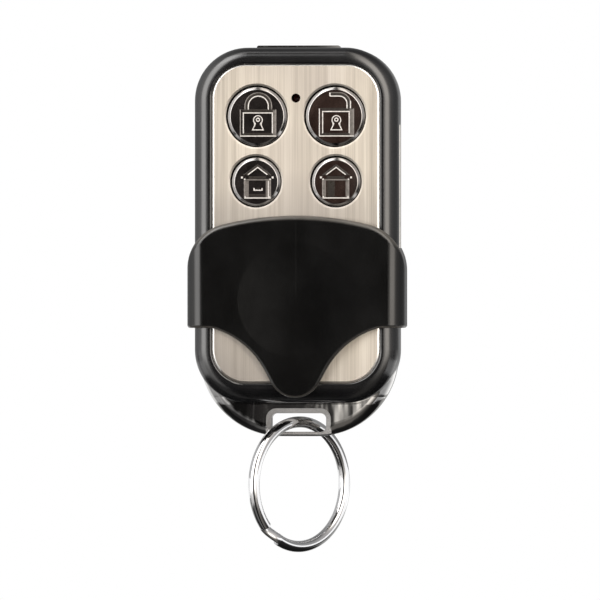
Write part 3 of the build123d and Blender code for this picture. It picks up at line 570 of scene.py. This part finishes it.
def padlock(name, closed):
    bx, bz, br = BUTTONS[name]
    r = Relief(bx, bz, br)
    if closed:
        left, right, in_left, in_right, in_top, top = -2.60, 3.08, -2.12, 2.53, 0.52, 1.05
    else:
        left, right, in_left, in_right, in_top, top = -2.45, 3.02, -1.93, 2.32, 0.74, 1.22
    low, in_low = -3.17, -2.74
    r.line([((in_right + right) / 2, top - 0.1), ((in_right + right) / 2, low + 0.1)],
           right - in_right - 0.08, BAND_H, mat=HALF_LIT)
    r.line([(left + 0.4, (top + in_top) / 2), (in_right, (top + in_top) / 2)], top - in_top - 0.1, BAND_H, mat=FAINT_LIT)
    r.line([(left + 0.2, (low + in_low) / 2), (in_right, (low + in_low) / 2)], in_low - low - 0.1, BAND_H, mat=FAINT_LIT)
    r.line([(left, top), (left, low)], LINE_W, LINE_H, mat=HALF_LIT if closed else LIT_GLINT)
    r.line([(right, top), (right, low)], LINE_W, LINE_H, mat=HALF_LIT)
    r.line([(left, top), (right, top)], LINE_W, LINE_H * 0.8, mat=FAINT_LIT)
    r.line([(left - 0.05, low), (right + 0.05, low)], LINE_W + 0.02, LINE_H + 0.01)
    r.line([(in_left, in_low), (in_left, in_top), (in_right, in_top), (in_right, in_low)], LINE_W + 0.02, LINE_H)
    r.line([(in_left, in_low), (in_right, in_low)], LINE_W, LINE_H * 0.8, mat=FAINT_LIT)
    if closed:
        cx, cz, ri, ro, turn = 0.28, 1.60, 1.60, 2.14, 180
        inner = [(cx + ri, top), *arc(cx, cz, ri, 0, turn, 26), (cx - ri, top)]
        outer = [(cx + ro, top), *arc(cx, cz, ro, 0, turn, 30), (cx - ro, top)]
        middle = [(cx + 1.87, top), *arc(cx, cz, 1.87, 0, turn, 28), (cx - 1.87, top)]
    else:
        cx, cz, ri, ro, turn = 0.72, 1.95, 1.25, 1.80, 90
        inner = [(cx + ri, top), *arc(cx, cz, ri, 0, turn, 16), (-0.76, cz + ri)]
        outer = [(cx + ro, top), *arc(cx, cz, ro, 0, turn, 18), (-0.76, cz + ro)]
        middle = [(cx + 1.52, top), *arc(cx, cz, 1.52, 0, turn, 16), (-0.70, cz + 1.52)]
        r.line([(-0.76, cz + ri), (-0.76, cz + ro)], 0.22, LINE_H)
        r.line([(cx + ro, top), (cx + ro, cz + 0.5)], LINE_W + 0.02, LINE_H + 0.005)
    r.line(middle, 0.42, BAND_H, mat=FAINT_LIT)
    r.line(outer, LINE_W, LINE_H, mat=HALF_LIT)
    r.line(inner, LINE_W + 0.02, LINE_H)
    keyhole(r, 0.22 if closed else 0.27)
    return r


def house(name, occupied):
    bx, bz, br = BUTTONS[name]
    r = Relief(bx, bz, br)
    if occupied:
        left, right, in_left, in_right = -1.86, 2.44, -1.10, 1.62
        eaves, apex = (-2.19, 2.72), 0.33
    else:
        left, right, in_left, in_right = -2.14, 2.16, -1.54, 1.60
        eaves, apex = (-2.36, 2.46), 0.07
    # roof: faint painted sheen on the outer edge, painted glint on the inner edge, square eave ends
    r.line([(eaves[0] + 0.25, 1.0), (apex, 2.70), (eaves[1] - 0.25, 1.0)], LINE_W, LINE_H * 0.8, mat=FAINT_LIT)
    r.line([(apex - 1.80, 1.02), (apex, 2.46), (apex + 1.80, 1.02)], 0.30, BAND_H, mat=FAINT_LIT)
    r.line([(apex - 1.56, 1.10), (apex, 2.27), (apex + 1.54, 1.10)], LINE_W + 0.02, LINE_H)
    for x in eaves:
        r.line([(x - 0.15, 0.66), (x + 0.15, 0.66)], 0.30, LINE_H + 0.005)
    r.line([(left + 0.75, 0.68), (right - 0.75, 0.68)], 0.36, BAND_H, mat=FAINT_LIT)
    r.line([(left - 0.04, 0.29), (right + 0.04, 0.29)], 0.24, LINE_H, mat=HALF_LIT)
    for x in (left + 0.12, right - 0.12):
        r.line([(x - 0.12, 0.36), (x + 0.12, 0.36)], 0.22, LINE_H + 0.01)
    # walls
    for a, b in ((left, in_left), (in_right, right)):
        r.line([((a + b) / 2, 0.2), ((a + b) / 2, -2.52)], b - a, BAND_H, mat=HALF_LIT)
    r.line([(left + 0.06, 0.2), (left + 0.06, -2.60)], LINE_W, LINE_H, mat=HALF_LIT)
    r.line([(right - 0.06, 0.2), (right - 0.06, -2.60)], LINE_W, LINE_H, mat=HALF_LIT)
    r.line([(left + 0.05, -2.62), (right, -2.62)], LINE_W + 0.03, LINE_H + 0.01)
    for x in (left + 0.16, right - 0.18):
        r.line([(x, -2.30), (x, -2.60)], 0.20, LINE_H + 0.01)
    if occupied:
        r.line([(in_left, -2.22), (in_right, -2.22)], 0.52, BAND_H, mat=FAINT_LIT)
        r.line([(in_right + 0.42, 0.1), (in_right + 0.42, -2.5)], LINE_W, LINE_H)
        r.line([(-0.25, -1.02), (-0.25, -1.38), (1.03, -1.38), (1.03, -1.02)], LINE_W + 0.03, LINE_H, step=0.15)
        r.line([(0.10, -1.08), (0.68, -1.08)], 0.16, BAND_H, mat=FAINT_LIT)
    else:
        r.line([(-0.74, 0.08), (-0.74, -2.45)], 1.20, BAND_H * 0.8, mat=FAINT_LIT)
    return r


# the caps float a little in their holes
for name, (bx, bz, br) in BUTTONS.items():
    make_cap(name, bx + 0.07, bz - 0.06, br + 0.05)
for name, relief in (
    ("lock", padlock("lock", True)),
    ("unlock", padlock("unlock", False)),
    ("arm_home", house("arm_home", True)),
    ("aux_home", house("aux_home", False)),
):
    new_object(f"{name}_symbol", relief.bm, [M["line"], M["grey"], M["band"]], name, (), 30)


# ------------------------------------------------------------ floor and light
def floor():
    bm = bmesh.new()
    bmesh.ops.create_circle(bm, cap_ends=True, segments=96, radius=0.72)
    bmesh.ops.translate(bm, verts=bm.verts, vec=(0, 0, -0.085))
    me = bpy.data.meshes.new("floor")
    bm.to_mesh(me)
    bm.free()
    s = Surface("pale_floor", specular_ior_level=0.2)
    n = s.noise(s.scaled(1, 1, 1), 40, 3, 0.5)
    s.colour(s.mix(n, (0.86, 0.86, 0.86), (0.89, 0.89, 0.89)))
    s.rough(0.85)
    me.materials.append(s.mat)
    obj = bpy.data.objects.new("floor", me)
    scene.collection.objects.link(obj)
    obj.visible_glossy = False


floor()


def studio():
    world = bpy.data.worlds.new("studio")
    scene.world = world
    world.use_nodes = True
    t = world.node_tree
    t.nodes.clear()

    def node(kind, **props):
        n = t.nodes.new(kind)
        for k, v in props.items():
            setattr(n, k, v)
        return n

    def math_node(op, a, b=0.0):
        n = node("ShaderNodeMath", operation=op)
        for socket, v in zip(n.inputs, (a, b)):
            if hasattr(v, "links"):
                t.links.new(v, socket)
            else:
                socket.default_value = v
        return n.outputs[0]

    xyz = node("ShaderNodeSeparateXYZ")
    t.links.new(node("ShaderNodeTexCoord").outputs["Generated"], xyz.inputs[0])
    x, y, z = xyz.outputs
    turn = math_node("ARCTAN2", x, math_node("MULTIPLY", y, -1.0))
    turn = math_node("ADD", math_node("DIVIDE", turn, 2 * math.pi), 0.5)

    def ramp(fac, stops):
        n = node("ShaderNodeValToRGB")
        t.links.new(fac, n.inputs[0])
        e = n.color_ramp.elements
        while len(e) < len(stops):
            e.new(0.5)
        for slot, (pos, c) in zip(e, stops):
            slot.position, slot.color = pos, (*c, 1.0)
        return n.outputs[0]

    def az(deg):
        return deg / 360 + 0.5

    around = ramp(turn, [
        (0.0, (0.25, 0.25, 0.25)),
        (az(-110), (0.52, 0.52, 0.52)),
        (az(-66), (0.80, 0.79, 0.78)),
        (az(-58), (2.2, 2.15, 2.1)),
        (az(-46), (2.8, 2.75, 2.7)),
        (az(-27), (2.7, 2.65, 2.6)),
        (az(-18), (0.30, 0.29, 0.28)),
        (az(-13), (0.03, 0.028, 0.027)),
        (az(2), (0.03, 0.028, 0.027)),
        (az(8), (0.8, 0.77, 0.72)),
        (az(15), (2.65, 2.49, 2.30)),
        (az(38), (2.65, 2.49, 2.30)),
        (az(50), (0.8, 0.76, 0.72)),
        (az(62), (0.45, 0.43, 0.42)),
        (az(90), (0.28, 0.28, 0.28)),
        (az(120), (0.20, 0.20, 0.20)),
        (1.0, (0.25, 0.25, 0.25)),
    ])
    height = ramp(math_node("ADD", math_node("MULTIPLY", z, 0.5), 0.5), [
        (0.0, (0.04, 0.04, 0.04)),
        (0.28, (0.05, 0.05, 0.05)),
        (0.40, (0.18, 0.18, 0.18)),
        (0.47, (0.75, 0.75, 0.75)),
        (0.50, (1.0, 1.0, 1.0)),
        (0.78, (1.1, 1.1, 1.1)),
        (0.92, (0.7, 0.7, 0.7)),
        (1.0, (0.45, 0.45, 0.45)),
    ])
    # pale table behind the object and to its left front, below the horizon
    table = ramp(turn, [
        (0.0, (0.40, 0.40, 0.39)),
        (az(-125), (0.36, 0.36, 0.35)),
        (az(-100), (0.0, 0.0, 0.0)),
        (az(-88), (0.55, 0.54, 0.53)),
        (az(-60), (0.45, 0.44, 0.43)),
        (az(-28), (0.45, 0.44, 0.43)),
        (az(-14), (0.0, 0.0, 0.0)),
        (az(100), (0.0, 0.0, 0.0)),
        (az(125), (0.36, 0.36, 0.35)),
        (1.0, (0.40, 0.40, 0.39)),
    ])
    below = ramp(math_node("ADD", math_node("MULTIPLY", z, 0.5), 0.5), [
        (0.24, (0.0, 0.0, 0.0)),
        (0.28, (0.9, 0.9, 0.9)),
        (0.46, (1.0, 1.0, 1.0)),
        (0.49, (0.0, 0.0, 0.0)),
    ])

    def blend(kind, a, b):
        n = node("ShaderNodeMix", data_type="RGBA", blend_type=kind)
        n.inputs[0].default_value = 1.0
        t.links.new(a, n.inputs[6])
        t.links.new(b, n.inputs[7])
        return n.outputs[2]

    soft = node("ShaderNodeBackground")
    t.links.new(blend("ADD", blend("MULTIPLY", around, height), blend("MULTIPLY", table, below)), soft.inputs["Color"])
    white = node("ShaderNodeBackground")
    white.inputs["Color"].default_value = (1, 1, 1, 1)
    white.inputs["Strength"].default_value = 1.0
    seen = node("ShaderNodeMixShader")
    t.links.new(node("ShaderNodeLightPath").outputs["Is Camera Ray"], seen.inputs[0])
    t.links.new(soft.outputs[0], seen.inputs[1])
    t.links.new(white.outputs[0], seen.inputs[2])
    t.links.new(seen.outputs[0], node("ShaderNodeOutputWorld").inputs["Surface"])


studio()


def area(name, place, aim, size, power, colour=(1, 1, 1)):
    light = bpy.data.lights.new(name, "AREA")
    light.shape = "RECTANGLE"
    light.size, light.size_y = size
    light.energy = power
    light.color = colour
    obj = bpy.data.objects.new(name, light)
    obj.location = place
    obj.rotation_mode = "QUATERNION"
    obj.rotation_quaternion = (Vector(aim) - Vector(place)).to_track_quat("-Z", "Y")
    obj.visible_camera = False
    scene.collection.objects.link(obj)
    return obj


area("top_box", (-0.25, -0.35, 0.55), (0, 0, 0), (0.4, 0.3), 0.45)
# two low cards beside the key ring
for side, power in (("left", 0.007), ("right", 0.011)):
    x = -0.075 if side == "left" else 0.075
    area(f"low_card_{side}", (x, 0.025, -0.045), (0, 0.025, -0.045), (0.17, 0.026), power)

# -------------------------------------------------------------------- camera
TURN = math.radians(3.8)
DIST = 1.6
cam = bpy.data.cameras.new("camera")
cam.sensor_width = 36.0
cam.lens = 36.0 * (DIST - 0.008) / 0.096
cam.clip_start, cam.clip_end = 0.05, 20.0
cam_obj = bpy.data.objects.new("camera", cam)
scene.collection.objects.link(cam_obj)
target = Vector((-0.0001, 0.0, -0.00944))
cam_obj.location = target + Vector((math.sin(TURN), -math.cos(TURN), 0.0)) * DIST
cam_obj.rotation_mode = "QUATERNION"
cam_obj.rotation_quaternion = (target - cam_obj.location).to_track_quat("-Z", "Y")
scene.camera = cam_obj

scene.view_settings.view_transform = "Standard"
scene.view_settings.look = "None"

bpy.context.view_layer.update()
